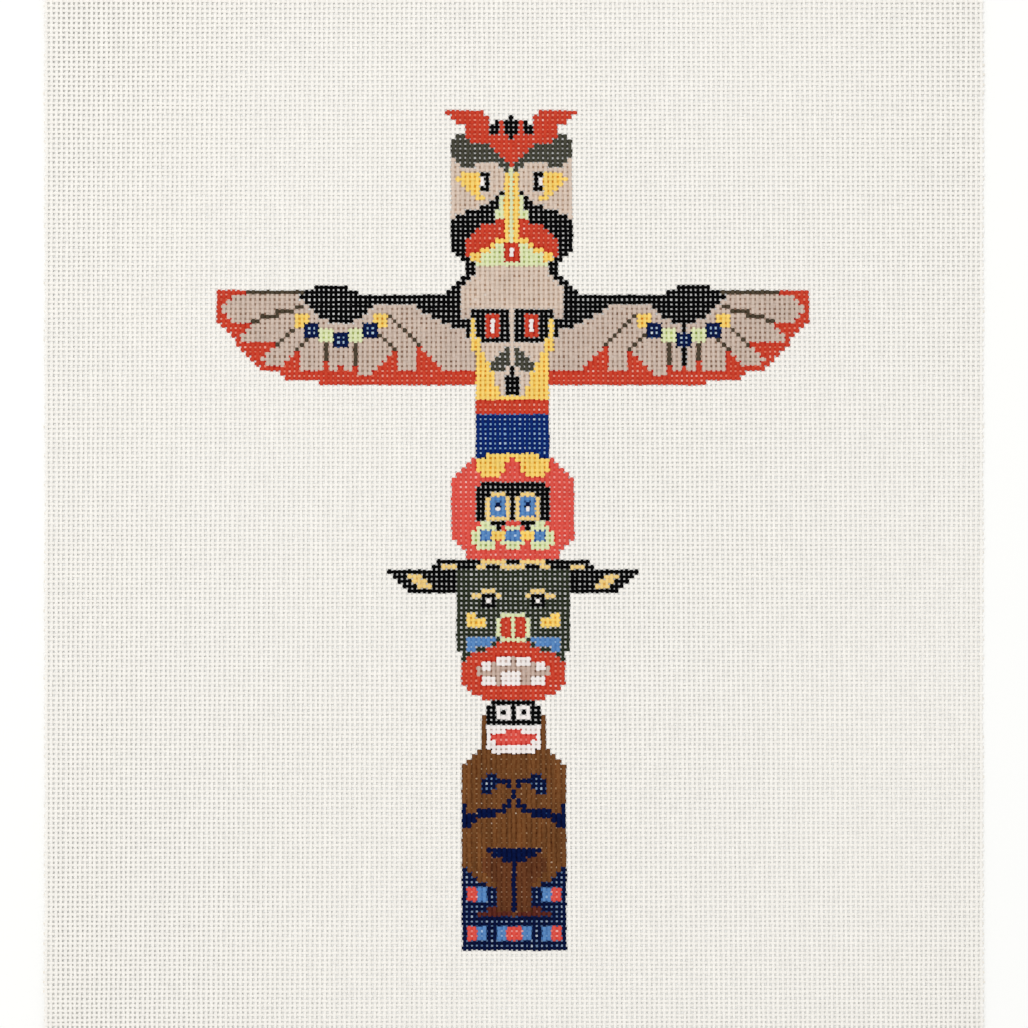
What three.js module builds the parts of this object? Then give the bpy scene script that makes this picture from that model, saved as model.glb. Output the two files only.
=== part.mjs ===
// Painted needlepoint canvas: one flat, unframed sheet of mono cotton canvas with its design painted on.
// Millimetres. The sheet lies on its back: +X to the picture's right, +Y to its top, +Z out of the
// painted face. The origin is on the underside, at the middle of the sheet.

import * as THREE from 'three';

// Driving dimensions. Mono canvas is sold by its thread count, and a design is planned in stitches,
// one for each crossing of two threads.
const THREADS_PER_INCH = 18;
const INCH = 25.4;
const WEFT_TO_WARP_PITCH = 0.98; // the rows are beaten up a little closer than the columns are set
const THREAD_HEIGHT = 0.32; // a sized cotton thread is pressed to this, and two lie on each other

const DESIGN_COLUMNS = 121; // wing tip to wing tip
const DESIGN_ROWS = 174; // crest to base
const SIDE_MARGIN_THREADS = 35; // the bare margin for the stretcher bars, close to 2 inches
const END_MARGIN_THREADS = 36;

// What follows from them.
const warpPitch = INCH / THREADS_PER_INCH;
const weftPitch = warpPitch * WEFT_TO_WARP_PITCH;
const sheetWidth = (DESIGN_COLUMNS + 2 * SIDE_MARGIN_THREADS) * warpPitch;
const sheetLength = (DESIGN_ROWS + 2 * END_MARGIN_THREADS) * weftPitch;
const sheetThickness = 2 * THREAD_HEIGHT;

/** The sheet's cut outline: straight along the threads on all four sides, with square corners. */
function cutOutline(width, length) {
  const outline = new THREE.Shape();
  outline.moveTo(-width / 2, -length / 2);
  outline.lineTo(width / 2, -length / 2);
  outline.lineTo(width / 2, length / 2);
  outline.lineTo(-width / 2, length / 2);
  outline.closePath();
  return outline;
}

/** Bare sized cotton. The sheet is closed here: its open weave is too fine to matter to its motion. */
function cottonCanvas() {
  return new THREE.MeshStandardMaterial({ color: '#f2efe8', roughness: 0.85, metalness: 0 });
}

/** The one piece: a flat sheet as thick as two crossed threads, standing on its underside. */
function paintedCanvas() {
  const geometry = new THREE.ExtrudeGeometry(cutOutline(sheetWidth, sheetLength), {
    depth: sheetThickness,
    bevelEnabled: false,
  });
  const mesh = new THREE.Mesh(geometry, cottonCanvas());
  mesh.name = 'painted_canvas';
  return mesh;
}

const group = new THREE.Group();
group.add(paintedCanvas());

export default group;
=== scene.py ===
"""A needlepoint canvas painted with a totem pole. The canvas is a plain weave of sized cotton threads,
laid thread by thread, and every crossing of two threads carries one paint. It lies flat on a pale
floor with its painted face up."""

from collections import namedtuple

import bpy
import numpy as np
from bpy.props import FloatProperty, FloatVectorProperty, IntProperty, PointerProperty
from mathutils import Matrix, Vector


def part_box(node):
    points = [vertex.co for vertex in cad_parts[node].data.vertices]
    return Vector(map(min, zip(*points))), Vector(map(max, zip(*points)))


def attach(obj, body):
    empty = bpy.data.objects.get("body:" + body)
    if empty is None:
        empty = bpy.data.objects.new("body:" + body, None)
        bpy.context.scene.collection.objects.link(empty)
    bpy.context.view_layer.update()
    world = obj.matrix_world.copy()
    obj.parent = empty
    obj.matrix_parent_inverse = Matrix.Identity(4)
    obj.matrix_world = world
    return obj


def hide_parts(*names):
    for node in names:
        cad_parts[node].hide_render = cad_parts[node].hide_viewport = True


bl_info = {
    "name": "Painted Needlepoint Canvas",
    "version": (1, 0, 0),
    "blender": (4, 5, 0),
    "location": "View3D > Sidebar > Needlepoint",
    "description": "Weaves a mono needlepoint canvas and paints a totem pole on it, crossing by crossing",
    "category": "Add Mesh",
}

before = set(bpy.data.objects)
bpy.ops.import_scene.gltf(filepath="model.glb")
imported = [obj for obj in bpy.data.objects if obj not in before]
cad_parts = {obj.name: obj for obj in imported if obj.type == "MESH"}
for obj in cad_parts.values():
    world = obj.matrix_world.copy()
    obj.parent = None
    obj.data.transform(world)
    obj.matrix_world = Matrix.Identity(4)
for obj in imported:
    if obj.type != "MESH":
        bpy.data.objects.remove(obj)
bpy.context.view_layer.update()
NODE = "painted_canvas"
SHEET_LOW, SHEET_HIGH = (np.array(corner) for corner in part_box(NODE))
SHEET_SIZE = SHEET_HIGH - SHEET_LOW

MM = 0.001
UNROLLED_MAP = "OFBake"  # every face has its own place here
THREAD_MAP = "Thread"  # millimetres around and along the thread
COAT_AND_SHADE = "coat"  # how thick the paint lies: 1 is a full coat, less lets the white through, more is deeper. It also carries painted shade: it is raised where a thread dips under another and in thick skins across holes, which deepens the colour there
UNDERSIDE_COAT = 0.3
WARP_DIP_SHADE = 1.15  # painted shade: the colour is deepened where a thread dips under another
WEFT_DIP_SHADE = 1.6
SKIN_THICKNESS = 0.02 * MM
SKIN_LEVEL = 0.92  # of a thread's height: just under the level where the threads touch
STITCH_CHANGE = 0.02  # how much the colour changes from one crossing to the next
FLOOR = "floor"
CAP_STRIP = 0.01  # the edge of the unrolled map that holds the threads' cut ends
LAMP_SIZE = 1.1
LAMP_PLACE = (-0.45, 0.55, 1.7)  # up and to the left, seen from where the camera is
SENSOR_WIDTH = 36  # millimetres


def linear(swatch):
    """An sRGB hex colour as linear red, green and blue."""
    encoded = np.array([int(swatch[i:i + 2], 16) for i in (0, 2, 4)]) / 255
    bright = ((encoded + 0.055) / 1.055) ** 2.4
    return tuple(np.where(encoded <= 0.04045, encoded / 12.92, bright).tolist())


# How each paint lies on the weave:
# - swell: the width of its threads beside that of bare ones.
# - skin: the coat of the film that it leaves across a hole. 0 is an open hole. Above 1 the film's colour
#   is deepened, which is painted shade in the hole.
# - rim: the share of that coat in the holes along the edge of a painted area.
# - sag: how far the film hangs, in thread heights.
# - spread: how far its edge runs on past mid way to the next crossing, in thread spacings.
# - streak: how strongly brush streaks show along the warp.
# - mottle: how strongly the colour changes over a few threads.
# - roughness and shine: how it dries.
Body = namedtuple("Body", "swell skin rim sag spread streak mottle roughness shine")
BODY = {
    "bare": Body(1.00, 0, 1, 0, 0, 0.05, 0.08, 0.88, 0.20),
    "red": Body(1.10, 0.5, 1, 0.30, 0, 0.12, 0.22, 0.70, 0.12),
    "coral": Body(1.10, 0.53, 1, 0.30, 0, 0.12, 0.22, 0.70, 0.12),
    "tan": Body(1.03, 2.0, 1, 0.75, 0, 0.10, 0.22, 0.80, 0.15),
    "sand": Body(1.03, 1.7, 1, 0.75, 0, 0.10, 0.22, 0.80, 0.15),
    "taupe": Body(1.04, 1.5, 1, 0.75, 0, 0.10, 0.22, 0.80, 0.15),
    "yellow": Body(1.04, 2.3, 1, 0.85, 0, 0.10, 0.22, 0.75, 0.15),
    "peach": Body(1.04, 1.5, 1, 0.85, 0, 0.10, 0.22, 0.75, 0.15),
    "lime": Body(1.03, 2.4, 1, 0.85, 0, 0.10, 0.22, 0.78, 0.15),
    "light_blue": Body(1.10, 1.0, 0.8, 0.35, 0, 0.12, 0.22, 0.75, 0.10),
    "ultramarine": Body(1.12, 0.22, 0.8, 0.45, 0, 0.12, 0.22, 0.70, 0.05),
    "dark_blue": Body(1.04, 0.12, 1, 0.45, 0, 0.12, 0.22, 0.70, 0.05),
    "navy": Body(1.10, 0.2, 1, 0.60, 0, 0.12, 0.22, 0.72, 0.04),
    "ink": Body(1.25, 1.1, 1, 0.30, 0, 0.12, 0.22, 0.72, 0.04),
    "brown": Body(1.36, 1.0, 0.68, 0.30, 0, 0.95, 0.22, 0.72, 0.06),
    "russet": Body(1.36, 1.0, 0.68, 0.30, 0, 0.95, 0.22, 0.72, 0.06),
    "maroon": Body(1.15, 1.2, 1, 0.30, 0, 0.30, 0.22, 0.72, 0.06),
    "umber": Body(1.14, 2.2, 1, 0.50, -0.05, 0.12, 0.22, 0.78, 0.08),
    "olive": Body(1.12, 0, 1, 0, 0, 0.12, 0.22, 0.75, 0.08),
    "bottle_green": Body(1.01, 0, 1, 0, 0, 0.12, 0.22, 0.75, 0.06),
    "black": Body(1.11, 0, 1, 0, 0, 0.08, 0.22, 0.75, 0.03),
    "white": Body(1.12, 3.3, 1, 0.80, -0.06, 0.08, 0.22, 0.75, 0.20),
}
PAINTS = tuple(BODY)


# ---------------------------------------------------------------- settings

class CanvasSettings(bpy.types.PropertyGroup):
    """The weave. Thread spacings follow from these counts and the size of the sheet."""
    warp_threads: IntProperty(
        name="Warp Threads", description="Threads side by side, running up the picture",
        default=191, min=3)
    weft_threads: IntProperty(
        name="Weft Threads", description="Threads one above the other, running across the picture",
        default=246, min=3)
    design_rows: IntProperty(
        name="Design Rows", description="Rows of the design, which lies midway up the canvas",
        default=174, min=1)
    warp_width: FloatProperty(
        name="Warp Width", description="Width of a bare warp thread pressed flat by its weave",
        default=0.78 * MM, min=0, subtype="DISTANCE", unit="LENGTH")
    weft_width: FloatProperty(
        name="Weft Width", description="Width of a bare weft thread pressed flat by its weave",
        default=0.73 * MM, min=0, subtype="DISTANCE", unit="LENGTH")
    thread_height: FloatProperty(
        name="Thread Height", description="Height of one thread, half that of a crossing",
        default=SHEET_SIZE[2] / 2, min=0, subtype="DISTANCE", unit="LENGTH")
    wander: FloatProperty(
        name="Wander", description="How far threads stray sideways from even spacing",
        default=0.055 * MM, min=0, subtype="DISTANCE", unit="LENGTH")
    uneven_beat: FloatProperty(
        name="Uneven Beat", description="How far the weft lies off even spacing, over the whole height",
        default=0.68 * MM, min=0, subtype="DISTANCE", unit="LENGTH")
    fan: FloatProperty(
        name="Fan", description="How much wider apart the warp lies at the bottom than at the top",
        default=4, min=0, max=20, subtype="PERCENTAGE")
    lean: FloatProperty(
        name="Lean", description="How far the middle warp threads run to the right from top to bottom",
        default=1.3 * MM, subtype="DISTANCE", unit="LENGTH")
    ripple: FloatProperty(
        name="Ripple", description="Height of the long waves in the sheet",
        default=0.22 * MM, min=0, subtype="DISTANCE", unit="LENGTH")
    corner_lift: FloatProperty(
        name="Corner Lift", description="How far the corners curl off the floor",
        default=1.2 * MM, min=0, subtype="DISTANCE", unit="LENGTH")
    seed: IntProperty(name="Seed", description="Picks the threads' irregularities", default=18, min=0)


def swatch(name, colour, description):
    """A colour property for one paint."""
    return FloatVectorProperty(
        name=name, description=description, default=linear(colour), size=3, min=0, max=1,
        subtype="COLOR")


class PaintBox(bpy.types.PropertyGroup):
    """The colours: bare cotton and twenty-one paints."""
    bare: swatch("Bare Cotton", "f7f4ee", "The sized thread of the canvas itself")
    red: swatch("Red", "cb432b", "Crest, wing edges, collar and the wide mouth")
    coral: swatch("Coral", "dd574b", "The ring round the third face, and small blocks")
    tan: swatch("Tan", "cfbdb0", "Feathers")
    sand: swatch("Sand", "dac8b9", "The bird's face, its hood and the long face below")
    taupe: swatch("Taupe", "c8b2a5", "The shadow between the teeth")
    yellow: swatch("Yellow", "f5d476", "Eyes, collars and small marks")
    peach: swatch("Peach", "efd18b", "Spectacles, and lines on the eared head")
    lime: swatch("Pale Lime", "dee4b9", "Beaks, cheeks and small squares")
    light_blue: swatch("Light Blue", "5f8dc2", "Eyes, cheeks and small blocks")
    ultramarine: swatch("Ultramarine", "062a70", "The broad collar")
    dark_blue: swatch("Dark Blue", "031b4d", "Small squares on the wings")
    navy: swatch("Navy", "03133f", "The ground round the bear, and its ears")
    ink: swatch("Ink Blue", "031544", "The lines of the bear")
    brown: swatch("Brown", "774c28", "The bear")
    russet: swatch("Russet", "683d22", "The bear's lower belly and legs")
    maroon: swatch("Maroon", "612c21", "The bear's toes")
    umber: swatch("Umber", "4f4536", "Quills")
    olive: swatch("Olive", "48473c", "Brow and moustache")
    bottle_green: swatch("Bottle Green", "2f3526", "The eared head")
    black: swatch("Black", "060607", "Shoulders, cheeks and outlines")
    white: swatch("White", "f1ebe8", "Eyes, teeth and the small face")


class StageSettings(bpy.types.PropertyGroup):
    """Floor, light and camera."""
    floor_size: FloatProperty(
        name="Floor Size", description="Length of each side of the floor",
        default=5.0, min=0, subtype="DISTANCE", unit="LENGTH")
    canvas_share: FloatProperty(
        name="Canvas Share", description="Share of the picture's width that the canvas covers",
        default=91.4, min=1, max=100, subtype="PERCENTAGE")
    centre_height: FloatProperty(
        name="View Centre", description="How far above the sheet's middle the camera looks",
        default=3.9 * MM, subtype="DISTANCE", unit="LENGTH")
    lens: FloatProperty(
        name="Lens", description="Focal length in millimetres, on a sensor 36 wide",
        default=85, min=1, unit="CAMERA")
    sky: FloatProperty(
        name="Sky", description="Strength of the even light from all round", default=0.78, min=0)
    lamp: FloatProperty(
        name="Lamp", description="Power of the soft lamp overhead",
        default=10.2, min=0, subtype="POWER", unit="POWER")


# ------------------------------------------------------------ stitch chart

class Chart:
    """The stitch chart: a paint for every crossing of two threads, counted from the design's centre
    column and top row. Motifs mirror about the centre column, because across is a distance from it."""

    def __init__(self, column, row):
        self.across = np.abs(column)
        self.down = row
        self.right_side = column > 0
        self.paint = np.zeros(self.down.shape, np.int32)

    def fill(self, paint, *masks):
        """Lays one paint over the crossings inside any of the masks."""
        for mask in masks:
            self.paint[mask] = PAINTS.index(paint)

    def block(self, inner, outer, top, bottom):
        """Crossings from column inner to outer and from row top to bottom, both ends counted."""
        return (
            (self.across >= inner) & (self.across <= outer)
            & (self.down >= top) & (self.down <= bottom)
        )

    def shape(self, *corners):
        """Crossings inside the closed outline through the corners: a crossing is inside when a line
        from it to the right crosses the outline an odd number of times."""
        inside = np.zeros(self.down.shape, bool)
        for (a0, d0), (a1, d1) in zip(corners, corners[1:] + corners[:1]):
            if d0 == d1:
                continue
            level = (self.down >= min(d0, d1)) & (self.down < max(d0, d1))
            edge = a0 + (self.down - d0) * (a1 - a0) / (d1 - d0)
            inside ^= level & (self.across < edge)
        return inside

    def oval(self, across, down, half_width, half_height):
        """Crossings within an ellipse about (across, down)."""
        a = (self.across - across) / half_width
        d = (self.down - down) / half_height
        return a * a + d * d <= 1

    def line(self, start, end, width):
        """Crossings within half the width of the straight stretch from start to end."""
        a0, d0 = start
        a1, d1 = end
        length_squared = (a1 - a0) ** 2 + (d1 - d0) ** 2
        along = ((self.across - a0) * (a1 - a0) + (self.down - d0) * (d1 - d0)) / length_squared
        along = np.clip(along, 0, 1)
        away = np.hypot(self.across - a0 - along * (a1 - a0), self.down - d0 - along * (d1 - d0))
        return away <= width / 2


def paint_wings(c):
    """Red wings from the body out, tan feathers with red tips, dark quills, a black shoulder and arm."""
    c.fill("red", c.shape(
        (7.5, 38.5), (43, 38.5), (43, 37.5), (60.5, 37.5), (60.5, 43.4), (59.5, 45.5), (56.5, 48.5),
        (55.5, 50.5), (50.6, 54.5), (47.6, 54.6), (45.5, 56.5), (39.5, 56.6), (39.5, 57.5), (7.5, 57.5)))
    c.fill("tan", c.shape((7.5, 40.5), (44, 40.5), (46.5, 46), (44, 49.5), (8, 49.5)))
    # Eight feathers, from the leading edge in to the body.
    c.fill("tan", c.shape(
        (43, 38.5), (57, 38.5), (59.5, 41.2), (59.5, 42.2), (57.5, 44.5), (43, 44.5)))
    c.fill("tan", c.shape(
        (43, 43.5), (52.6, 44.5), (55.5, 47.2), (55.5, 48.5), (43, 48.5)))
    c.fill("tan", c.shape(
        (42, 47.5), (47.6, 48.4), (50.6, 50.6), (51.4, 52.4), (50.4, 53.5), (46.5, 53.5), (44.1, 50.9)))
    c.fill("tan", c.shape((38.5, 44.5), (44.5, 44.5), (43.5, 50.5), (43.5, 54.5), (38.5, 54.5)))
    c.fill("tan", c.shape((32.5, 44.5), (37.5, 44.5), (37.5, 54.5), (32.5, 54.5)))
    c.fill("tan", c.shape(
        (23.6, 44.5), (31.5, 44.5), (31.5, 55.5), (28.5, 55.5), (28.5, 54.6), (24.4, 50.5)))
    c.fill("tan", c.shape(
        (19.5, 40.5), (31, 40.5), (24.5, 50.4), (23.5, 50.5), (23.5, 54.5), (19.5, 54.5)))
    c.fill("tan", c.shape((7.5, 40.5), (20, 40.5), (19.4, 49.4), (14.5, 54.5), (7.5, 54.5)))
    # Quills.
    c.fill(
        "umber",
        c.block(43, 54, 38, 38),
        c.line((43, 41), (53, 44), 1.05),
        c.line((45, 46), (48, 49), 0.5),
        c.line((42, 48), (44, 50), 0.5),
        c.block(38, 38, 49, 52),
        c.block(32, 32, 49, 53),
        c.line((27, 47), (24, 50), 0.5),
        c.line((25, 43), (19, 49), 0.5),
    )
    c.fill("red", c.block(38, 38, 53, 54), c.block(35, 35, 54, 54), c.block(32, 32, 54, 54))
    c.fill("black", c.block(35, 35, 45, 53) & c.right_side)
    # The arm out to a rounded shoulder, and the breast it grows from.
    c.fill(
        "black",
        c.shape((10.5, 38.5), (32, 38.5), (32, 40.5), (10.5, 40.5)),
        c.shape(
            (34, 36.5), (40, 36.5), (43.5, 38.8), (41.6, 40.8), (38.6, 43.7), (36.9, 44.5),
            (33, 44.5), (28.4, 41.4), (28.4, 39.6)),
        c.shape(
            (8.5, 43.5), (10.5, 43.2), (10.5, 40.5), (19.6, 40.5), (19.6, 41.4), (11.5, 45.5),
            (9.5, 45.8), (9.5, 47.5), (8.5, 47.5)),
    )
    # A necklace of small squares hangs between the two feather fans.
    c.fill("yellow", c.block(26, 28, 43, 45), c.block(42, 44, 43, 45))
    c.fill("lime", c.block(31, 33, 46, 48), c.block(37, 39, 46, 48))
    c.fill("dark_blue", c.block(28, 30, 45, 47), c.block(40, 42, 45, 47), c.block(34, 36, 47, 49))


def paint_bird_head(c):
    """The top head: horned red crest, dark brow, tan face, black cheeks and a short hooked beak."""
    c.fill("sand", c.block(0, 12, 10, 22))
    c.fill("black", c.shape(
        (0, 15.6), (2.5, 16.5), (3.6, 18.5), (5.6, 19.8), (8.4, 20.4), (10.4, 21.2), (12.5, 22.4),
        (12.5, 28.5), (11.5, 30.5), (9.5, 32.5), (9.5, 34), (13.5, 38), (13.5, 38.5), (0, 38.5)))
    c.fill("lime", c.shape(
        (0, 11.5), (1.5, 12.5), (1.5, 17.5), (2.5, 17.5), (2.5, 19.5), (3.5, 20.5), (3.5, 22.5),
        (1.5, 28), (0, 28)))
    # Red cheeks, then the yellow gums and the pale beak in steps inside them.
    c.fill("red", c.oval(0, 32.2, 11.3, 9.8) & c.block(2, 9, 22, 30))
    c.fill("yellow", c.shape(
        (0, 25.5), (1.6, 26.4), (2.6, 26.6), (3.6, 27.4), (4.6, 28.4), (6.6, 28.6), (6.6, 29.4),
        (8.6, 29.6), (8.6, 31.5), (0, 31.5)))
    c.fill("lime", c.shape(
        (0, 27.5), (3.4, 27.5), (4.4, 28.6), (4.6, 29.4), (6.5, 29.6), (6.5, 31.4), (7.5, 31.6),
        (7.5, 32.5), (0, 32.5)))
    c.fill("lime", c.block(0, 0, 12, 27))
    c.fill("yellow", c.block(1, 1, 13, 27))
    c.fill("red", c.block(0, 1, 28, 31))
    c.fill("white", c.block(0, 0, 29, 30))
    # Eyes: a black bracket round a white, with a yellow corner outside it.
    c.fill("yellow", c.shape(
        (6.5, 12.5), (10.5, 12.5), (11.5, 13.6), (11.5, 14.4), (9.4, 16.5), (7.4, 18.5), (5.5, 18.5),
        (6.4, 16.6)))
    c.fill("black", c.block(5, 6, 13, 16))
    c.fill("white", c.block(6, 6, 14, 15))
    # Brow and crest.
    c.fill("olive", c.shape(
        (0, 6.5), (8.5, 4.5), (11.5, 4.5), (12.5, 5.5), (12.5, 9.5), (11.5, 10.5), (10.5, 11.5),
        (7.5, 11.5), (7, 10.5), (2.5, 10.5), (2.5, 11.5), (1.5, 12.5), (0.5, 12.5), (0.5, 11)))
    c.fill("red", c.shape(
        (5.8, -0.5), (14, -0.5), (10.4, 2.6), (9.5, 3.5), (9.5, 5.4), (8.5, 6.5), (4.5, 6.7),
        (3.5, 8.4), (1.4, 9.3), (0.6, 11.4), (0, 11.4), (0, 4.5), (4.5, 4.5), (4.5, 1.6), (4.9, 0.6)))
    c.fill("black", c.block(0, 0, 1, 5), c.block(0, 3, 2, 2), c.block(0, 4, 3, 4))
    c.fill("red", c.block(2, 2, 2, 4))


def paint_masked_face(c):
    """The bird's breast: a tan hood and long face with a black eye band and olive moustache."""
    c.fill("yellow", c.block(0, 8, 44, 50), c.block(0, 7, 51, 60))
    c.fill("sand", c.shape(
        (0, 32.5), (7.5, 32.5), (7.5, 34), (10.5, 37), (10.5, 41.5), (0, 41.5)))
    c.fill("sand", c.shape(
        (0, 41.5), (6.5, 41.5), (6.5, 49.5), (4.5, 53.5), (3.5, 56.5), (2.5, 59.5), (0, 59.5)))
    c.fill("black", c.shape(
        (0.5, 41.5), (8.5, 41.5), (8.5, 43.5), (7.5, 43.5), (7.5, 47.5), (6.5, 47.5), (6.5, 48.5),
        (0.5, 48.5)))
    c.fill("red", c.block(3, 5, 43, 47))
    c.fill("white", c.block(4, 4, 44, 46))
    c.fill("olive", c.shape((0.5, 49.5), (1.2, 49.5), (4.6, 53), (4.6, 54.5), (1.6, 54.5), (0.5, 53.5)))
    c.fill("black", c.block(0, 0, 54, 55), c.block(0, 1, 56, 59))
    # The two collars below it.
    c.fill("red", c.block(0, 7, 61, 63))
    c.fill("ultramarine", c.block(0, 7, 64, 72))


def paint_ringed_face(c):
    """A coral ring round a small black face with spectacled blue eyes and spotted cheeks."""
    c.fill("coral", c.shape(
        (0, 72.5), (7.5, 72.5), (9.5, 73.6), (11.5, 75.6), (12.5, 77.5), (12.5, 88.5), (11.5, 90.4),
        (9.5, 91.6), (9.5, 93.5), (0, 93.5)))
    c.fill("yellow", c.block(0, 5, 72, 72), c.block(0, 7, 73, 75), c.block(3, 6, 76, 76))
    c.fill("coral", c.shape((0, 72.5), (0.6, 72.5), (2.5, 76.5), (0, 76.5)))
    c.fill("black", c.shape((0, 77.5), (6.5, 77.5), (7.5, 78.5), (7.5, 85.5), (0, 85.5)))
    c.fill("peach", c.shape(
        (0.5, 81), (1.6, 79.5), (4.5, 79.5), (5.5, 80.5), (5.5, 85.5), (0.5, 85.5)))
    c.fill("light_blue", c.block(2, 4, 81, 84))
    c.fill("navy", c.block(3, 3, 82, 82))
    c.fill("white", c.block(3, 3, 83, 83))
    c.fill("lime", c.oval(0, 89, 2.6, 2.6), c.shape(
        (5.5, 85.5), (6.5, 85.5), (8.5, 87.5), (8.5, 90.5), (7.5, 91.5), (3.6, 91.5), (3.5, 86.5)))
    c.fill("yellow", c.block(2, 4, 88, 89))
    c.fill("light_blue", c.block(0, 1, 88, 89), c.block(5, 6, 88, 89))
    c.fill("black", c.block(2, 4, 86, 86), c.block(3, 3, 87, 87))


def paint_eared_head(c):
    """A green head with long black ears, a snout with red nostrils and a wide red mouth of teeth."""
    c.fill("black", c.shape(
        (10.5, 93.5), (15.5, 93.5), (16.5, 94.6), (16.5, 95.5), (25.6, 95.5), (21.5, 100.5),
        (10.5, 100.5)))
    c.fill("bottle_green", c.shape(
        (0, 95.5), (11.5, 95.5), (11.5, 112.5), (10.6, 112.6), (10.6, 114.4), (0, 114.4)))
    c.fill("black", c.block(0, 11, 94, 95))
    # A scalloped edge along the top of the head, a mark in each ear, and eyebrows.
    c.fill(
        "peach",
        c.block(2, 6, 94, 94), c.block(0, 2, 95, 95), c.block(6, 7, 95, 95), c.block(12, 14, 95, 95),
        c.shape((18.5, 96.5), (21.6, 96.5), (19.5, 99.5), (16.4, 99.5)),
        c.block(4, 6, 100, 100), c.block(3, 8, 101, 101),
    )
    c.fill("black", c.block(4, 6, 101, 103))
    c.fill("white", c.block(5, 5, 102, 102))
    c.fill("yellow", c.shape(
        (7.8, 104.5), (9.6, 104.5), (9.6, 106.5), (8.6, 107.6), (5.5, 107.6), (5.5, 106)))
    c.fill("lime", c.shape((0, 104.5), (2.5, 104.5), (3.5, 105.5), (3.5, 109.5), (2.5, 110.5), (0, 110.5)))
    c.fill("red", c.block(1, 2, 106, 109))
    c.fill("light_blue", c.shape((3.5, 109.5), (9.5, 109.5), (9.5, 112.5), (8.4, 112.5), (4.2, 110.9)))
    c.fill("red", c.shape(
        (0, 110.5), (2.5, 110.5), (4.5, 111.6), (7.5, 112.5), (10.5, 114.4), (10.5, 118.5),
        (9.5, 120.4), (7.8, 121.5), (5.5, 122.5), (0, 122.5)))
    c.fill("taupe", c.shape(
        (0, 113.5), (3.5, 113.5), (3.6, 114.4), (6.4, 114.6), (7.5, 115.6), (7.5, 117.5), (6.5, 117.6),
        (6.5, 119.5), (0, 119.5)))
    c.fill(
        "white",
        c.block(1, 3, 114, 115), c.block(0, 3, 114, 114) & c.right_side, c.block(5, 6, 115, 116),
        c.block(0, 1, 117, 119), c.block(2, 2, 117, 119) & ~c.right_side, c.block(4, 6, 118, 119),
    )


def paint_small_face(c):
    """A little white face under a black cap, with red lips and a brown cord down each side."""
    c.fill("white", c.shape((0, 127.5), (5.5, 127.5), (5.5, 131.5), (4.5, 133.5), (0, 133.5)))
    c.fill("black", c.shape((0, 122.5), (4.5, 122.5), (5.5, 123.5), (5.5, 127.5), (0, 127.5)))
    c.fill("white", c.block(1, 3, 124, 126))
    c.fill("black", c.block(2, 2, 125, 125))
    c.fill("coral", c.block(0, 1, 129, 129), c.block(0, 4, 130, 130), c.block(0, 3, 131, 131))
    c.fill("brown", c.block(6, 6, 126, 133))


def paint_bear(c):
    """The seated brown bear on a navy ground, with coral and light blue blocks round its feet."""
    c.fill("navy", c.block(0, 10, 143, 173))
    c.fill("brown", c.shape(
        (4.5, 132.5), (7.5, 132.5), (10.5, 135.5), (10.5, 156.5), (7.5, 158.6), (7.2, 159.5),
        (4.5, 160.5), (3.5, 160.5), (3.5, 164.5), (5, 164.6), (6.6, 166.5), (0, 166.5), (0, 133.5),
        (4.5, 133.5)))
    # The lower belly and the legs are darker, and the toes darker still.
    c.fill("russet", c.shape(
        (0, 153.5), (5.5, 153.5), (6.5, 155.6), (5.5, 158.5), (3.5, 160.5), (3.5, 166.5), (0, 166.5)))
    c.fill("maroon", c.block(1, 7, 166, 166), c.block(4, 5, 165, 165))
    # Ears and the line that joins them, the arms, the mark on the belly and the gap between the legs.
    c.fill("navy", c.block(4, 5, 138, 138), c.block(4, 6, 139, 140), c.block(5, 6, 141, 141))
    c.fill("ink", c.block(1, 3, 139, 139), c.block(1, 1, 140, 140), c.block(0, 0, 141, 142))
    c.fill("ink", c.shape(
        (0.5, 142.5), (1.5, 142.5), (2.5, 144.4), (5.5, 144.6), (9.5, 145.5), (9.5, 144.5),
        (10.5, 143.5), (10.5, 148.5), (9.5, 148.5), (7.5, 146.7), (4.5, 146.5), (1.5, 145.4),
        (0.5, 144.5)))
    c.fill("ink", c.shape((0, 152.5), (5.5, 152.5), (4.4, 154.5), (1.5, 155.5), (0, 155.5)))
    c.fill("ink", c.block(0, 0, 156, 165))
    # Blocks beside the legs and along the base.
    c.fill("coral", c.block(8, 9, 161, 163), c.block(0, 1, 169, 171), c.block(8, 9, 169, 171))
    c.fill("light_blue", c.block(6, 7, 161, 163), c.block(2, 3, 169, 171), c.block(6, 7, 169, 171))


def stitch_chart(column, row):
    """Paints the whole pole in the order it is built up, each figure over the one behind it."""
    c = Chart(column, row)
    for figure in (paint_wings, paint_bird_head, paint_masked_face, paint_ringed_face,
                   paint_eared_head, paint_small_face, paint_bear):
        figure(c)
    return c.paint


# -------------------------------------------------------------------- weave

def wander(rng, threads, crossings):
    """Sideways wander of each thread at each crossing, with a spread of about 1: the whole thread is
    set off by a random amount, and three sine waves of random length and start run along it."""
    along = np.arange(crossings)
    offset = rng.normal(0, 0.6, (threads, 1)) + np.zeros(crossings)
    for length in (8, 21, 55):
        stretch = rng.uniform(0.75, 1.3, (threads, 1))
        start = rng.uniform(0, 2 * np.pi, (threads, 1))
        offset += 0.65 * np.sin(2 * np.pi * along / (length * stretch) + start)
    return offset


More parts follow.
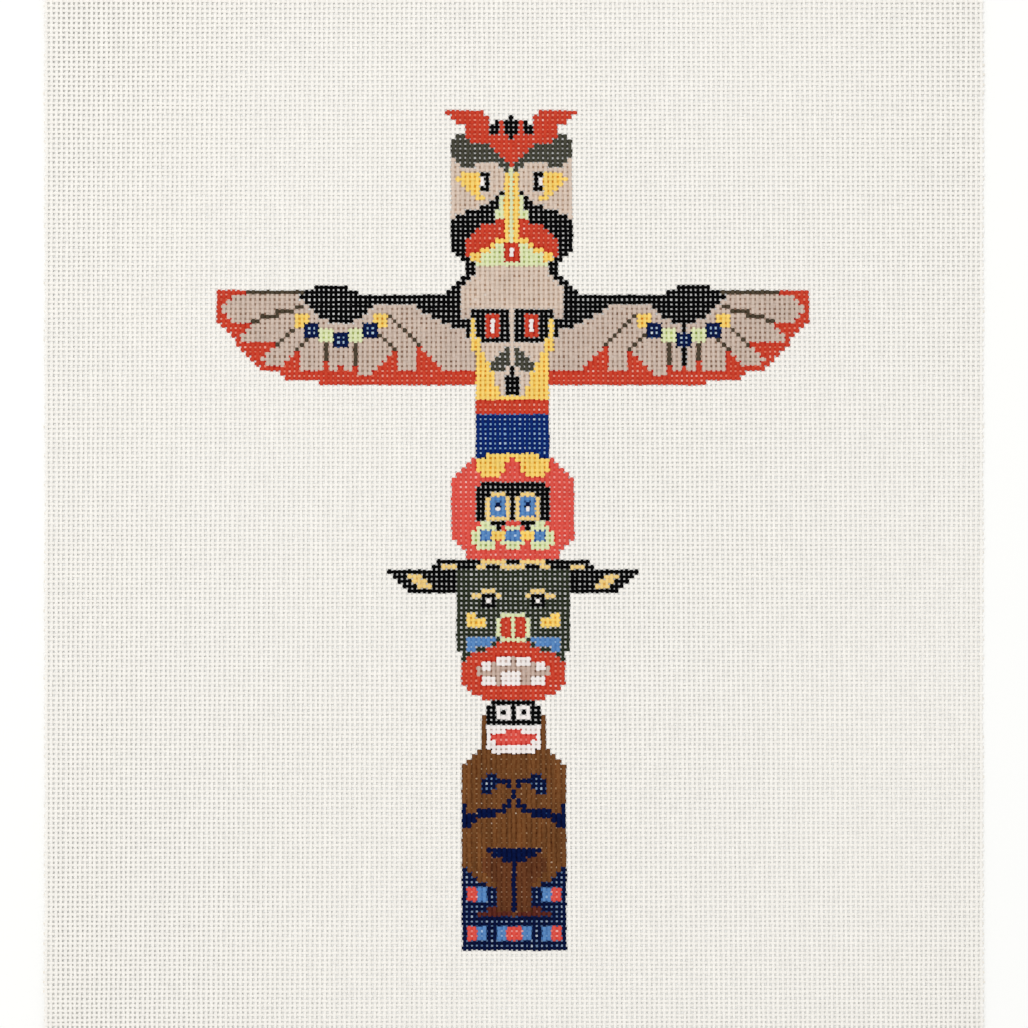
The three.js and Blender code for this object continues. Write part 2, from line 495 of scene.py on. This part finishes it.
def drift(x, y, canvas):
    """Even places moved by the slow unevenness of the weave, which comes to nothing at the edges. With
    down as the share of the way from the top edge to the bottom one, the warp leans and fans out in
    proportion to it, about points 0.45 and 0.75 of the way down, and the weft moves by a sum of four
    sine waves over the whole height."""
    down = 0.5 - y / SHEET_SIZE[1]
    inside = 1 - (2 * x / SHEET_SIZE[0]) ** 2
    fan = canvas.fan / 100 * (down - 0.45) * x
    lean = canvas.lean * (down - 0.75)
    angle = np.pi * down
    beat = np.sin(3 * angle) + 0.4 * np.sin(5 * angle) - 0.38 * np.sin(2 * angle) - 0.18 * np.sin(angle)
    return x + (fan + lean) * inside, y - canvas.uneven_beat * beat


def sheet_lift(x, y, canvas):
    """Height of the sheet's underside over the floor. Two long sine waves ripple it, never below zero,
    and each corner curls up by a high power of the distance out towards it."""
    across = x / (SHEET_SIZE[0] / 2)
    along = y / (SHEET_SIZE[1] / 2)
    ripple = 2 + np.sin(5.1 * across + 1.3 * along + 0.4) + np.sin(3.7 * along - 2.2 * across + 2.0)
    corner = ((np.abs(across) + np.abs(along)) / 2) ** 8
    uneven = 0.7 + 0.3 * np.sin(2 * across + 3 * along)
    return canvas.ripple * ripple / 4 + canvas.corner_lift * corner * uneven


class Weave:
    """Every crossing of the plain weave, as whole arrays with a row for each weft thread from the top
    down and a column for each warp thread from the left."""

    def __init__(self, canvas):
        self.canvas = canvas
        self.shape = (canvas.weft_threads, canvas.warp_threads)
        self.warp_pitch = SHEET_SIZE[0] / canvas.warp_threads
        self.weft_pitch = SHEET_SIZE[1] / canvas.weft_threads
        row, column = np.indices(self.shape)
        rows, columns = self.shape
        x = (column - (columns - 1) / 2) * self.warp_pitch
        y = ((rows - 1) / 2 - row) * self.weft_pitch
        x, y = drift(x, y, canvas)
        self.lift = sheet_lift(x, y, canvas)
        rng = np.random.default_rng(canvas.seed)
        self.x = x + canvas.wander * (wander(rng, columns, rows).T + rng.normal(0, 0.4, self.shape))
        self.y = y + canvas.wander * (wander(rng, rows, columns) + rng.normal(0, 0.4, self.shape))
        self.warp_over = (row + column) % 2 == 0
        self.paint = stitch_chart(column - (columns - 1) // 2, row - (rows - canvas.design_rows) // 2)

    def threads(self, way, first, last):
        """The crossings along threads first to last of the warp or the weft, a row for each thread:
        their centre points, whether the thread lies over there, and the paint."""
        over = self.warp_over if way == "warp" else ~self.warp_over
        height = self.canvas.thread_height * np.where(over, 1.5, 0.5)
        points = np.stack([self.x, self.y, self.lift + height], axis=-1)
        part = slice(first, last)
        if way == "warp":
            return points[:, part].swapaxes(0, 1), over[:, part].T, self.paint[:, part].T
        return points[part], over[part], self.paint[part]


def half_steps(at_crossings, share):
    """Values at the half steps of each thread: its first end, then a crossing and a mid point in turn,
    and its last end. A mid point lies the given share of the way to the next crossing, and an end runs
    on by the given share of its last step."""
    crossings = at_crossings.shape[1]
    steps = np.empty((len(at_crossings), 2 * crossings + 1) + at_crossings.shape[2:])
    share = share.reshape(share.shape + (1,) * (at_crossings.ndim - 2))
    step = np.diff(at_crossings, axis=1)
    steps[:, 1::2] = at_crossings
    steps[:, 2:-1:2] = at_crossings[:, :-1] + share[:, 1:-1] * step
    steps[:, 0] = at_crossings[:, 0] - share[:, 0] * step[:, 0]
    steps[:, -1] = at_crossings[:, -1] + share[:, -1] * step[:, -1]
    return steps


class Surface:
    """Points and faces of one piece, gathered from its parts before they go into a mesh."""

    def __init__(self):
        self.points, self.coats, self.sides, self.count = [], [], [], 0
        self.corners, self.sizes, self.paints, self.smooth = [], [], [], []
        self.maps = {UNROLLED_MAP: [], THREAD_MAP: []}

    def add_points(self, points, coat, side):
        """Adds points with their coat of paint and the side of the thread that they run along (0 is
        neither), and gives the number of the first."""
        first = self.count
        self.points.append(points.reshape(-1, 3))
        self.coats.append(coat.ravel())
        self.sides.append(side.ravel())
        self.count += self.points[-1].shape[0]
        return first

    def add_faces(self, corners, paints, unrolled, along_thread, smooth):
        """Adds faces, each a row of point numbers, with a paint each and both maps at each corner."""
        self.corners.append(corners.ravel())
        self.sizes.append(np.full(len(corners), corners.shape[1]))
        self.paints.append(paints)
        self.smooth.append(np.full(len(corners), smooth))
        self.maps[UNROLLED_MAP].append(unrolled.ravel())
        self.maps[THREAD_MAP].append(along_thread.ravel())

    def sharp_sides(self, mesh):
        """Marks the edges along both sides of each thread sharp, so that its rounded top is shaded apart
        from its underside. Both points of such an edge have the same side number."""
        ends = np.empty(2 * len(mesh.edges), np.int32)
        mesh.edges.foreach_get("vertices", ends)
        side = np.concatenate(self.sides)[ends.reshape(-1, 2)]
        sharp = (side[:, 0] > 0) & (side[:, 0] == side[:, 1])
        mesh.attributes.new("sharp_edge", "BOOLEAN", "EDGE").data.foreach_set("value", sharp)

    def mesh(self, name, materials):
        """Puts it all into a new mesh, with only the materials that its faces use."""
        sizes = np.concatenate(self.sizes)
        used, slots = np.unique(np.concatenate(self.paints), return_inverse=True)
        mesh = bpy.data.meshes.new(name)
        mesh.vertices.add(self.count)
        mesh.vertices.foreach_set("co", np.concatenate(self.points).ravel())
        mesh.loops.add(int(sizes.sum()))
        mesh.loops.foreach_set("vertex_index", np.concatenate(self.corners))
        mesh.polygons.add(len(sizes))
        mesh.polygons.foreach_set("loop_start", np.concatenate([[0], np.cumsum(sizes)[:-1]]))
        mesh.polygons.foreach_set("material_index", slots.astype(np.int32))
        mesh.polygons.foreach_set("use_smooth", np.concatenate(self.smooth))
        mesh.update(calc_edges=True)
        self.sharp_sides(mesh)
        for map_name, rows in self.maps.items():
            mesh.uv_layers.new(name=map_name).uv.foreach_set("vector", np.concatenate(rows))
        coat = mesh.attributes.new(COAT_AND_SHADE, "FLOAT", "POINT")
        coat.data.foreach_set("value", np.concatenate(self.coats))
        for number in used:
            mesh.materials.append(materials[PAINTS[number]])
        if mesh.validate():
            raise RuntimeError(f"{name} has faces that don't join up")
        return mesh


def spin_threads(surface, weave, way, first, last, map_width):
    """The skins of threads first to last. A thread's section is a rhomb with its corners at the right,
    top, left and bottom, shaded round. One stands at every crossing, at the height of the weave, and
    one between two crossings only where the paint changes there."""
    canvas = weave.canvas
    centres, over, paint = weave.threads(way, first, last)
    threads, crossings = paint.shape
    rng = np.random.default_rng([canvas.seed, first, way == "warp"])

    # The place and width of every section. Paint ends raggedly, so its edges stray from mid way.
    share = 0.5 + rng.uniform(-0.13, 0.13, (threads, crossings + 1))
    spread = np.array([BODY[name].spread for name in PAINTS])[paint]
    share[:, 1:-1] += spread[:, :-1] - spread[:, 1:]
    places = half_steps(centres, share)
    places[:, [0, -1], 2] = centres[:, [0, -1], 2]
    swell = np.array([BODY[name].swell for name in PAINTS])[paint]
    slub = 1 + 0.035 * wander(rng, threads, crossings)
    own_width = canvas.warp_width if way == "warp" else canvas.weft_width
    room = 0.97 * (weave.warp_pitch if way == "warp" else weave.weft_pitch)
    crossing_width = np.minimum(own_width * swell * slub * np.where(over, 1.03, 0.97), room)
    widths = half_steps(crossing_width, share)
    kept = np.zeros(widths.shape, bool)
    kept[:, 1::2] = True
    kept[:, [0, -1]] = True
    kept[:, 2:-1:2] = paint[:, 1:] != paint[:, :-1]

    sideways = np.array([1.0, 0, 0] if way == "warp" else [0, 1.0, 0])
    upwards = np.array([0, 0, canvas.thread_height / 2])
    right = widths[..., None] / 2 * sideways
    top = upwards + 0 * right
    sections = (places[:, :, None] + np.stack([right, top, -right, -top], axis=2))[kept]
    # Painted shade: the coat is raised where the thread dips under another, which deepens its colour
    # there. The underside takes less paint.
    dip = WEFT_DIP_SHADE if way == "weft" else WARP_DIP_SHADE
    coat = half_steps(np.where(over, 1.0, dip), share)[..., None] * [1, 1, 1, UNDERSIDE_COAT]
    coat = coat[kept]
    side = np.broadcast_to([1, 0, 2, 0], coat.shape)
    base = surface.add_points(sections, coat, side)

    # Four walls join each section to the next one of its thread.
    thread, step = np.nonzero(kept)
    here = np.flatnonzero(thread[:-1] == thread[1:])
    corner = np.arange(4)
    start = base + 4 * here[:, None]
    end = start + 4
    following = (corner + 1) % 4
    walls = np.stack([start + corner, start + following, end + following, end + corner], axis=-1)
    wall_paint = np.repeat(paint[thread[here], step[here] // 2], 4)

    # Unrolled, the threads lie side by side, each cut open along its right.
    around = np.stack([corner, corner + 1, corner + 1, corner], axis=-1) / 4
    strip = map_width / threads
    across_map = strip * (thread[here][:, None, None] + 0.02 + 0.96 * around)
    last_step = widths.shape[1] - 1
    up_map = CAP_STRIP + (1 - 2 * CAP_STRIP) * step / last_step
    up_map = np.stack([up_map[here], up_map[here], up_map[here + 1], up_map[here + 1]], axis=-1)
    unrolled = np.stack(np.broadcast_arrays(across_map, up_map[:, None]), axis=-1)
    pitch = weave.weft_pitch if way == "warp" else weave.warp_pitch
    length = step * pitch / 2 / MM
    length = np.stack([length[here], length[here], length[here + 1], length[here + 1]], axis=-1)
    girth = 2 * np.hypot(own_width, canvas.thread_height) / MM
    along_thread = np.stack(np.broadcast_arrays(girth * around, length[:, None]), axis=-1)
    surface.add_faces(walls.reshape(-1, 4), wall_paint, unrolled, along_thread, True)

    # Cut ends: each thread's first section turned over, and its last one as it is.
    first_ends = base + 4 * np.flatnonzero(step == 0)[:, None] + corner[::-1]
    last_ends = base + 4 * np.flatnonzero(step == last_step)[:, None] + corner
    box = np.stack(np.broadcast_arrays(
        strip * (np.arange(threads)[:, None] + np.array([0.1, 0.9, 0.9, 0.1])),
        CAP_STRIP * np.array([0.1, 0.1, 0.8, 0.8])), axis=-1)
    boxes = np.concatenate([box, box + np.array([0, 1 - CAP_STRIP])])
    bare = np.full(2 * threads, PAINTS.index("bare"))
    surface.add_faces(np.concatenate([first_ends, last_ends]), bare, boxes, 0 * boxes, False)


def hang_skins(surface, weave, first, last, map_width):
    """Skins of paint across the holes under weft threads first to last, wherever the four crossings
    round a hole all have a paint that leaves one. A hole takes the colour of the paint with the
    thinnest skin of the four, and the mean of the four skins as its own. A skin is a thin cushion: its
    corners are the crossings, and its middle sags by the paint's own share of a thread height."""
    skins, rims, sags = np.array([(BODY[name].skin, BODY[name].rim, BODY[name].sag) for name in PAINTS]).T
    around = np.stack([
        weave.paint[:-1, :-1], weave.paint[1:, :-1], weave.paint[1:, 1:], weave.paint[:-1, 1:]])
    thinnest = skins[around].argmin(axis=0)
    paint = np.take_along_axis(around, thinnest[None], axis=0)[0]
    filled = (skins[around] > 0).all(axis=0)
    filled[:first] = False
    filled[last:] = False
    # A hole is well inside its area when it and the four holes beside it have one paint all round.
    whole = np.pad((around == paint).all(axis=0), 1)
    inside = whole[1:-1, 1:-1] & whole[:-2, 1:-1] & whole[2:, 1:-1] & whole[1:-1, :-2] & whole[1:-1, 2:]
    rng = np.random.default_rng([weave.canvas.seed, 2])
    patchy = np.clip(rng.normal(1, 0.25, paint.shape), 0.4, 1.6)
    # A skin is a real film of paint, but a coat above one deepens its colour as painted shade in the hole.
    skin = (skins[around] * np.where(inside, 1, rims[around])).mean(axis=0) * patchy
    row, column = np.nonzero(filled)
    # Anticlockwise from the hole's top left.
    rows = np.stack([row, row + 1, row + 1, row], axis=-1)
    columns = np.stack([column, column, column + 1, column + 1], axis=-1)
    height = weave.lift + SKIN_LEVEL * weave.canvas.thread_height
    corners = np.stack([weave.x, weave.y, height], axis=-1)[rows, columns]
    middle = corners.mean(axis=1, keepdims=True)
    sag = np.array([0, 0, weave.canvas.thread_height]) * sags[paint[row, column]][:, None, None]
    thick = np.array([0, 0, SKIN_THICKNESS])
    points = np.concatenate([corners, middle - sag, middle - sag - thick], axis=1)
    coat = np.repeat(skin[row, column][:, None], 6, axis=1)
    numbers = surface.add_points(points, coat, 0 * coat) + 6 * np.arange(len(row))[:, None, None]
    corner = np.arange(4)
    following = (corner + 1) % 4
    top = np.stack([corner, following, np.full(4, 4)], axis=-1)
    under = np.stack([following, corner, np.full(4, 5)], axis=-1)
    faces = numbers + np.concatenate([top, under])

    # Unrolled, the tops and undersides fill a block of small squares beside the threads.
    squares = 16
    count = 2 * len(row)
    square = np.stack([np.arange(count) % squares, np.arange(count) // squares], axis=-1)
    size = np.array([(1 - map_width) / squares, 1 / np.ceil(count / squares)])
    outline = np.array([[0.1, 0.9], [0.1, 0.1], [0.9, 0.1], [0.9, 0.9], [0.5, 0.5], [0.5, 0.5]])
    turned = outline[np.concatenate([top, under])].reshape(2, 4, 3, 2)
    spread = square.reshape(-1, 2, 1, 1, 2) + turned
    unrolled = np.array([map_width, 0]) + size * spread
    paints = np.repeat(paint[row, column], 8)
    surface.add_faces(faces.reshape(-1, 3), paints, unrolled, np.zeros((8 * len(row), 3, 2)), False)


# ---------------------------------------------------------------- materials

def add_node(tree, kind, settings, inputs):
    """Adds a node with its settings. An input that is given a socket is linked to it."""
    node = tree.nodes.new(kind)
    for name, value in settings.items():
        setattr(node, name, value)
    for key, value in inputs.items():
        if isinstance(value, bpy.types.NodeSocket):
            tree.links.new(value, node.inputs[key])
        else:
            node.inputs[key].default_value = value
    return node


def thread_material(name, colour, body, weave):
    """A cotton thread in one colour. Every stitch takes the brush a little differently, the colour is
    mottled over a few threads and streaked along the warp, and the ply shows as a slanted groove."""
    material = bpy.data.materials.new(name)
    material.use_nodes = True
    tree = material.node_tree
    tree.nodes.clear()
    place = add_node(tree, "ShaderNodeTexCoord", {}, {}).outputs["Object"]

    # One value for each crossing: space is cut into cells of one warp and one weft pitch.
    shifted = add_node(
        tree, "ShaderNodeVectorMath", {"operation": "ADD"},
        {0: place, 1: (weave.warp_pitch / 2, 0, 0)})
    cell = add_node(
        tree, "ShaderNodeVectorMath", {"operation": "SNAP"},
        {0: shifted.outputs[0], 1: (weave.warp_pitch, weave.weft_pitch, 1)})
    # In millimetres, so that neighbouring cells are well apart.
    spread = add_node(
        tree, "ShaderNodeVectorMath", {"operation": "SCALE"}, {0: cell.outputs[0], "Scale": 1000})
    stitch = add_node(tree, "ShaderNodeTexWhiteNoise", {"noise_dimensions": "3D"},
                      {"Vector": spread.outputs[0]})
    # Mottling a few threads wide: noise about 4 mm across.
    mottle = add_node(tree, "ShaderNodeTexNoise", {}, {"Vector": place, "Scale": 250, "Detail": 3})
    # Streaks about one thread wide and a dozen long, as the brush ran up the canvas.
    stretched = add_node(
        tree, "ShaderNodeVectorMath", {"operation": "MULTIPLY"}, {0: place, 1: (1000, 60, 1000)})
    streaks = add_node(
        tree, "ShaderNodeTexNoise", {}, {"Vector": stretched.outputs[0], "Scale": 1, "Detail": 1})
    # Each is added about its middle value, one half, so that together they leave the colour as it is.
    value = 1 - (STITCH_CHANGE + body.mottle + body.streak) / 2
    for source, strength in (
            (stitch.outputs["Value"], STITCH_CHANGE), (mottle.outputs["Fac"], body.mottle),
            (streaks.outputs["Fac"], body.streak)):
        value = add_node(
            tree, "ShaderNodeMath", {"operation": "MULTIPLY_ADD"},
            {0: source, 1: strength, 2: value}).outputs[0]
    painted = add_node(
        tree, "ShaderNodeVectorMath", {"operation": "SCALE"},
        {0: colour, "Scale": value})

    # Light passes through the paint and back, so its colour goes by the power of the coat: a thin one
    # lets the white through, and a thick one is deeper. The coat is also raised as painted shade where
    # threads dip under others and in thick skins across holes, which deepens the colour there.
    coat = add_node(tree, "ShaderNodeAttribute", {"attribute_name": COAT_AND_SHADE}, {}).outputs["Fac"]
    deep = add_node(
        tree, "ShaderNodeGamma", {}, {"Color": painted.outputs[0], "Gamma": coat})

    # The ply: one groove for every 0.7 mm of thread.
    around = add_node(tree, "ShaderNodeUVMap", {"uv_map": THREAD_MAP}, {}).outputs["UV"]
    ply = add_node(
        tree, "ShaderNodeTexWave", {"bands_direction": "DIAGONAL"},
        {"Vector": around, "Scale": 0.9, "Distortion": 1.5, "Detail": 2, "Detail Scale": 2})
    groove = add_node(
        tree, "ShaderNodeBump", {}, {"Height": ply.outputs["Fac"], "Distance": 0.04 * MM, "Strength": 0.5})
    shader = add_node(
        tree, "ShaderNodeBsdfPrincipled", {},
        {"Base Color": deep.outputs["Color"], "Roughness": body.roughness,
         "Specular IOR Level": body.shine, "Normal": groove.outputs["Normal"]})
    add_node(tree, "ShaderNodeOutputMaterial", {}, {"Surface": shader.outputs["BSDF"]})
    return material


def thread_materials(paint_box, weave):
    """Sized cotton, made once, and a matt acrylic for each paint. Size and paint both leave the thread
    stiff and dull, with only a faint shine, so the colours read flat and chalky."""
    made = {}
    for name in PAINTS:
        title = "sized_cotton" if name == "bare" else f"matt_acrylic_{name}"
        made[name] = bpy.data.materials.get(title) or thread_material(
            title, tuple(getattr(paint_box, name)), BODY[name], weave)
    return made


def matt_paper(name, colour):
    """Matt paper: even, with no shine and no grain to see at this distance."""
    material = bpy.data.materials.new(name)
    material.use_nodes = True
    shader = material.node_tree.nodes["Principled BSDF"]
    shader.inputs["Base Color"].default_value = (*linear(colour), 1)
    shader.inputs["Roughness"].default_value = 1.0
    shader.inputs["Specular IOR Level"].default_value = 0.0
    return material


# ---------------------------------------------------------------- operators

def weave_band(context, name, way, first, last):
    """One band of the warp or the weft, over the cut of cloth that it covers. It has one of the
    two sets of threads, so half of that rectangle is its own."""
    scene = context.scene
    weave = Weave(scene.needlepoint_canvas)
    surface = Surface()
    map_width = 1.0 if way == "warp" else 0.9
    spin_threads(surface, weave, way, first, last, map_width)
    if way == "weft":
        hang_skins(surface, weave, first, last, map_width)
    mesh = surface.mesh(name, thread_materials(scene.needlepoint_paints, weave))
    piece = bpy.data.objects.new(name, mesh)
    context.collection.objects.link(piece)
    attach(piece, "root")
    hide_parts(NODE)


def weave_bands(context, way, names, threads):
    """Shares the threads out over bands of almost equal width."""
    edges = np.linspace(0, threads, len(names) + 1).round().astype(int).tolist()
    for name, first, last in zip(names, edges, edges[1:]):
        weave_band(context, name, way, first, last)


class NEEDLEPOINT_OT_lay_warp(bpy.types.Operator):
    """Lay the warp, the threads that run up the picture"""
    bl_idname = "needlepoint.lay_warp"
    bl_label = "Lay Warp"

    def execute(self, context):
        names = ("warp_left", "warp_centre", "warp_right")
        weave_bands(context, "warp", names, context.scene.needlepoint_canvas.warp_threads)
        return {"FINISHED"}


class NEEDLEPOINT_OT_weave_weft(bpy.types.Operator):
    """Weave the weft, the threads that run across the picture, with the paint that fills its holes"""
    bl_idname = "needlepoint.weave_weft"
    bl_label = "Weave Weft"

    def execute(self, context):
        names = ("weft_top", "weft_centre", "weft_bottom")
        weave_bands(context, "weft", names, context.scene.needlepoint_canvas.weft_threads)
        return {"FINISHED"}


class NEEDLEPOINT_OT_set_stage(bpy.types.Operator):
    """Set out the floor, the light and the camera that looks straight down"""
    bl_idname = "needlepoint.set_stage"
    bl_label = "Set Stage"

    def execute(self, context):
        scene = context.scene
        stage = scene.needlepoint_stage
        half = stage.floor_size / 2
        mesh = bpy.data.meshes.new(FLOOR)
        mesh.from_pydata([(-half, -half, 0), (half, -half, 0), (half, half, 0), (-half, half, 0)],
                         [], [(0, 1, 2, 3)])
        mesh.materials.append(matt_paper("white_paper", "fcfcfa"))
        floor = bpy.data.objects.new(FLOOR, mesh)
        scene.collection.objects.link(floor)

        world = bpy.data.worlds.new("even_sky")
        world.use_nodes = True
        sky = world.node_tree.nodes["Background"]
        sky.inputs["Color"].default_value = (1, 1, 1, 1)
        sky.inputs["Strength"].default_value = stage.sky
        scene.world = world

        lamp = bpy.data.lights.new("soft_lamp", "AREA")
        lamp.shape = "DISK"
        lamp.size = LAMP_SIZE
        lamp.energy = stage.lamp
        lamp_object = bpy.data.objects.new("soft_lamp", lamp)
        lamp_object.location = LAMP_PLACE
        towards = -lamp_object.location
        lamp_object.rotation_euler = towards.to_track_quat("-Z", "Y").to_euler()
        scene.collection.objects.link(lamp_object)

        camera = bpy.data.cameras.new("overhead_camera")
        camera.lens = stage.lens
        camera.sensor_width = SENSOR_WIDTH
        view_width = float(SHEET_SIZE[0]) / (stage.canvas_share / 100)
        camera_object = bpy.data.objects.new("overhead_camera", camera)
        height = float(SHEET_SIZE[2]) + view_width * camera.lens / camera.sensor_width
        camera_object.location = (0, stage.centre_height, height)
        scene.collection.objects.link(camera_object)
        scene.camera = camera_object
        scene.view_settings.view_transform = "Standard"
        return {"FINISHED"}


class NEEDLEPOINT_PT_canvas(bpy.types.Panel):
    """Lists the canvas's settings and the steps that make it"""
    bl_label = "Painted Needlepoint Canvas"
    bl_space_type = "VIEW_3D"
    bl_region_type = "UI"
    bl_category = "Needlepoint"

    def draw(self, context):
        for operator in (NEEDLEPOINT_OT_lay_warp, NEEDLEPOINT_OT_weave_weft, NEEDLEPOINT_OT_set_stage):
            self.layout.operator(operator.bl_idname)
        scene = context.scene
        for group in (scene.needlepoint_canvas, scene.needlepoint_paints, scene.needlepoint_stage):
            column = self.layout.column(align=True)
            for name in group.__annotations__:
                column.prop(group, name)


CLASSES = (
    CanvasSettings, PaintBox, StageSettings,
    NEEDLEPOINT_OT_lay_warp, NEEDLEPOINT_OT_weave_weft, NEEDLEPOINT_OT_set_stage,
    NEEDLEPOINT_PT_canvas,
)


def register():
    for entry in CLASSES:
        bpy.utils.register_class(entry)
    bpy.types.Scene.needlepoint_canvas = PointerProperty(type=CanvasSettings)
    bpy.types.Scene.needlepoint_paints = PointerProperty(type=PaintBox)
    bpy.types.Scene.needlepoint_stage = PointerProperty(type=StageSettings)


def unregister():
    del bpy.types.Scene.needlepoint_canvas
    del bpy.types.Scene.needlepoint_paints
    del bpy.types.Scene.needlepoint_stage
    for entry in reversed(CLASSES):
        bpy.utils.unregister_class(entry)


def main():
    register()
    bpy.ops.needlepoint.lay_warp()
    bpy.ops.needlepoint.weave_weft()
    bpy.ops.needlepoint.set_stage()


if __name__ == "__main__":
    main()
